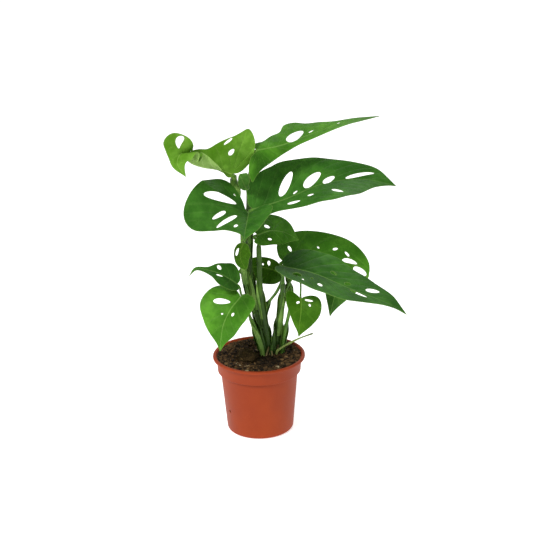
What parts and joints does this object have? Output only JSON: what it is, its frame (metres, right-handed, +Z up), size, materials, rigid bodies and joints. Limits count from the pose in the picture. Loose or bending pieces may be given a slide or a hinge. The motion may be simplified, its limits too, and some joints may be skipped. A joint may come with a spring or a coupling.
{
  "type": "potted monstera adansonii",
  "caption": "Young swiss cheese vine with long pierced leaves on upright green stems, growing in peat in a round orange nursery pot.",
  "frame": {"origin": "centre of the pot's foot, on the surface that it stands on", "axes": "+Z up along the pot's axis, -Y towards the side that the plant shows in the picture, +X to the right seen from there"},
  "size_m": [0.2954, 0.1873, 0.4113],
  "materials": {
    "pot": "satin terracotta-coloured plastic",
    "soil": "damp dark peat",
    "stem": "smooth green stem",
    "dry_stalk": "dull straw-green",
    "leaf": "glossy mid-green top, paler dull underside",
    "young_leaf": "glossy yellow-green top, paler dull underside"
  },
  "bodies": {
    "root": {"pot": "pot", "soil": "soil", "peat_clod": "soil", "stem_main": "stem", "stem_middle": "stem", "stem_right": "stem", "stalk_heart_left": "stem", "stalk_mid_left": "stem", "stalk_lower_right_back": "stem", "dry_leaf_stub": "dry_stalk", "leaf_top_right": "leaf", "leaf_large_right": "leaf", "leaf_top_left": "young_leaf", "leaf_front_left": "leaf", "leaf_behind": "leaf", "leaf_lower_right_back": "leaf", "leaf_lower_right": "leaf", "leaf_heart_left": "young_leaf", "leaf_heart_right": "young_leaf", "leaf_mid_left": "leaf", "leaf_young": "young_leaf", "leaf_shaded": "leaf", "leaf_bract": "young_leaf"}
  },
  "joints": []
}
